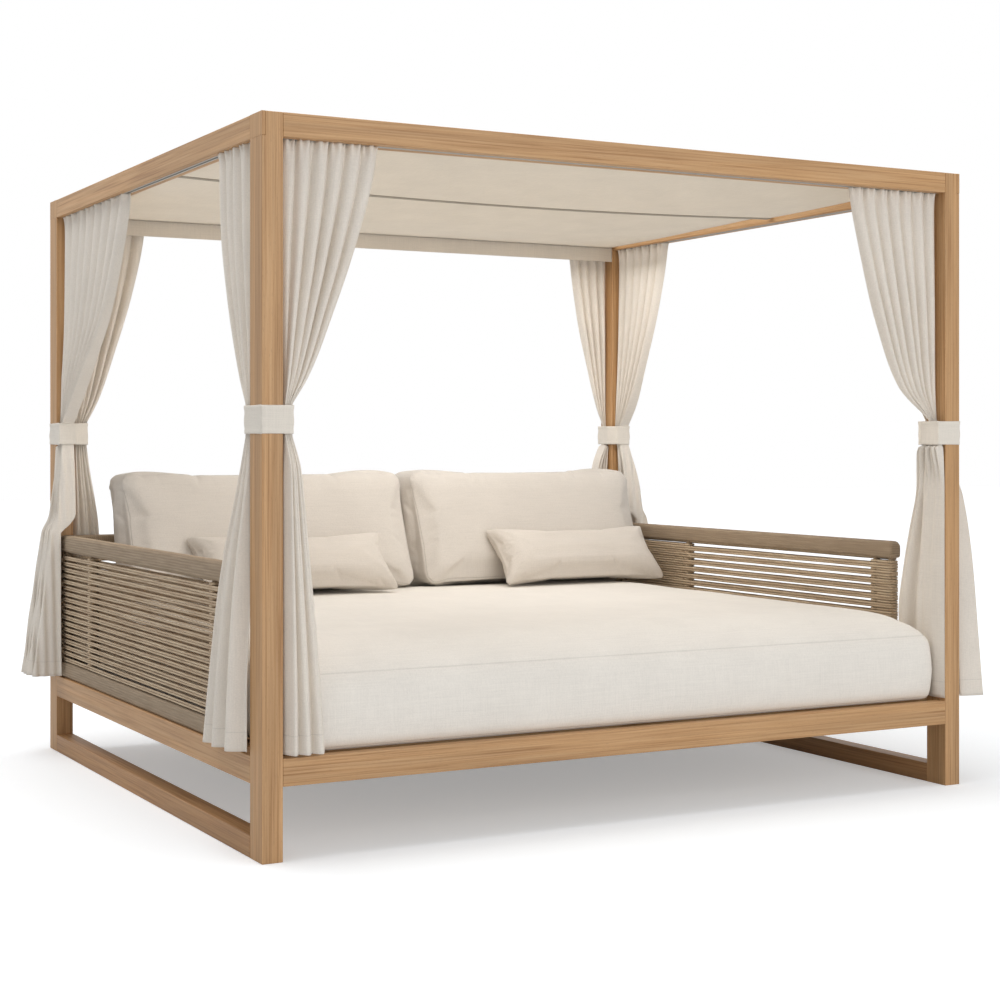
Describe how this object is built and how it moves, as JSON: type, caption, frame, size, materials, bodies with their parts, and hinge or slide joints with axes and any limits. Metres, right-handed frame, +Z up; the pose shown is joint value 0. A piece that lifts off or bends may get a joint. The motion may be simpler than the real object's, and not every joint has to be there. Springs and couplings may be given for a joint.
{
  "type": "outdoor daybed with canopy",
  "caption": "Square-timber outdoor daybed with a curtained canopy frame, woven rope arms and back, a thick mattress, back cushions and lumbar pillows.",
  "frame": {"origin": "on the floor, midway between the four posts", "axes": "+X to the right as seen from the open front, +Y from the open front to the back, +Z up"},
  "size_m": [2.682, 2.185, 2],
  "materials": {
    "teak": "satin oiled light teak, straight grain",
    "teak_plate": "satin oiled teak, slightly darker",
    "inner_wood": "plain sawn wood",
    "rope": "matt braided outdoor rope",
    "wrapped_frame": "welded tube wrapped in matt outdoor cord",
    "cushion_fabric": "matt woven outdoor fabric",
    "curtain_fabric": "matt light woven cloth",
    "canopy_fabric": "matt woven canopy cloth",
    "aluminium": "satin extruded",
    "steel": "plain fastener"
  },
  "bodies": {
    "bedstead": {"post_front_left": "teak", "cover_plate_front_left": "teak_plate", "beam_bolt_front_left": "steel", "tie_band_front_left": "cushion_fabric", "curtain_front_left": "curtain_fabric", "curtain_left_front": "curtain_fabric", "post_front_right": "teak", "cover_plate_front_right": "teak_plate", "beam_bolt_front_right": "steel", "tie_band_front_right": "cushion_fabric", "curtain_front_right": "curtain_fabric", "curtain_right_front": "curtain_fabric", "post_back_left": "teak", "cover_plate_back_left": "teak_plate", "beam_bolt_back_left": "steel", "tie_band_back_left": "cushion_fabric", "curtain_back_left": "curtain_fabric", "curtain_left_back": "curtain_fabric", "post_back_right": "teak", "cover_plate_back_right": "teak_plate", "beam_bolt_back_right": "steel", "tie_band_back_right": "cushion_fabric", "curtain_back_right": "curtain_fabric", "curtain_right_back": "curtain_fabric", "beam_front": "teak", "track_front": "aluminium", "seat_rail_front": "teak", "beam_back": "teak", "track_back": "aluminium", "seat_rail_back": "teak", "beam_left": "teak", "track_left": "aluminium", "seat_rail_left": "teak", "beam_right": "teak", "track_right": "aluminium", "seat_rail_right": "teak", "runner_left": "teak", "ledger_left": "inner_wood", "arm_left_frame": "wrapped_frame", "arm_left_rope": "rope", "runner_right": "teak", "ledger_right": "inner_wood", "arm_right_frame": "wrapped_frame", "arm_right_rope": "rope", "back_frame": "wrapped_frame", "back_rope": "rope", "middle_bearer": "inner_wood", "slat_panel": "inner_wood", "canopy_batten_front": "inner_wood", "canopy_batten_middle": "inner_wood", "canopy_batten_rear": "inner_wood", "canopy_cloth": "canopy_fabric", "rear_valance": "canopy_fabric"},
    "mattress": {"mattress": "cushion_fabric"},
    "back_cushion_left": {"back_cushion_left": "cushion_fabric"},
    "back_cushion_right": {"back_cushion_right": "cushion_fabric"},
    "lumbar_pillow_left": {"lumbar_pillow_left": "cushion_fabric"},
    "lumbar_pillow_right": {"lumbar_pillow_right": "cushion_fabric"}
  },
  "joints": [
    {"name": "mattress_lift", "type": "slide", "parent": "bedstead", "child": "mattress", "axis": [0, 0, 1], "range_m": [0, 0.515]},
    {"name": "back_cushion_left_lift", "type": "slide", "parent": "mattress", "child": "back_cushion_left", "axis": [0, 0, 1], "range_m": [0, 0.28]},
    {"name": "back_cushion_right_lift", "type": "slide", "parent": "mattress", "child": "back_cushion_right", "axis": [0, 0, 1], "range_m": [0, 0.28]},
    {"name": "lumbar_pillow_left_lift", "type": "slide", "parent": "back_cushion_left", "child": "lumbar_pillow_left", "axis": [0, -0.8, 0.6], "range_m": [0, 0.3]},
    {"name": "lumbar_pillow_right_lift", "type": "slide", "parent": "back_cushion_right", "child": "lumbar_pillow_right", "axis": [0, -0.8, 0.6], "range_m": [0, 0.3]}
  ]
}
